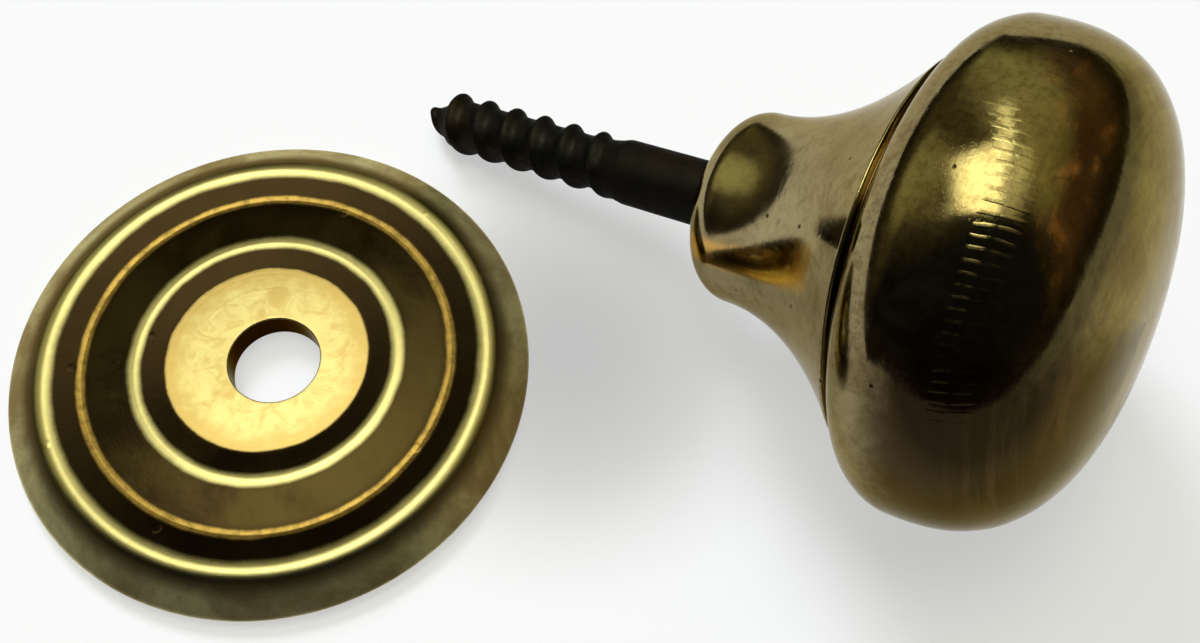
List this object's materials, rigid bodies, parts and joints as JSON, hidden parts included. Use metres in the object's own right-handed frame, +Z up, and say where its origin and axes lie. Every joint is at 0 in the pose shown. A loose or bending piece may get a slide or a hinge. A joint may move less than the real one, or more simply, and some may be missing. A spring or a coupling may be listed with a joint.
{
  "type": "cabinet knob",
  "caption": "Turned brass mushroom cabinet knob with a fixed iron wood screw, lying beside its round ringed backplate.",
  "frame": {"origin": "on the table, under the middle of the box round the knob and its backplate as they lie", "axes": "+Z up from the table. +X runs from the backplate towards the knob's head, along the set's longest side. +Y points away from the viewer, and the screw points back and left."},
  "size_m": [0.0814, 0.042, 0.032],
  "materials": {
    "knob_brass": "polished brass with a thin brown tarnish",
    "screw_iron": "dark oxidised iron, worn",
    "plate_brass": "tarnished brass, rubbed bright on its rings and seat"
  },
  "bodies": {
    "root": {"knob": "knob_brass", "screw": "screw_iron", "backplate": "plate_brass"}
  },
  "joints": []
}
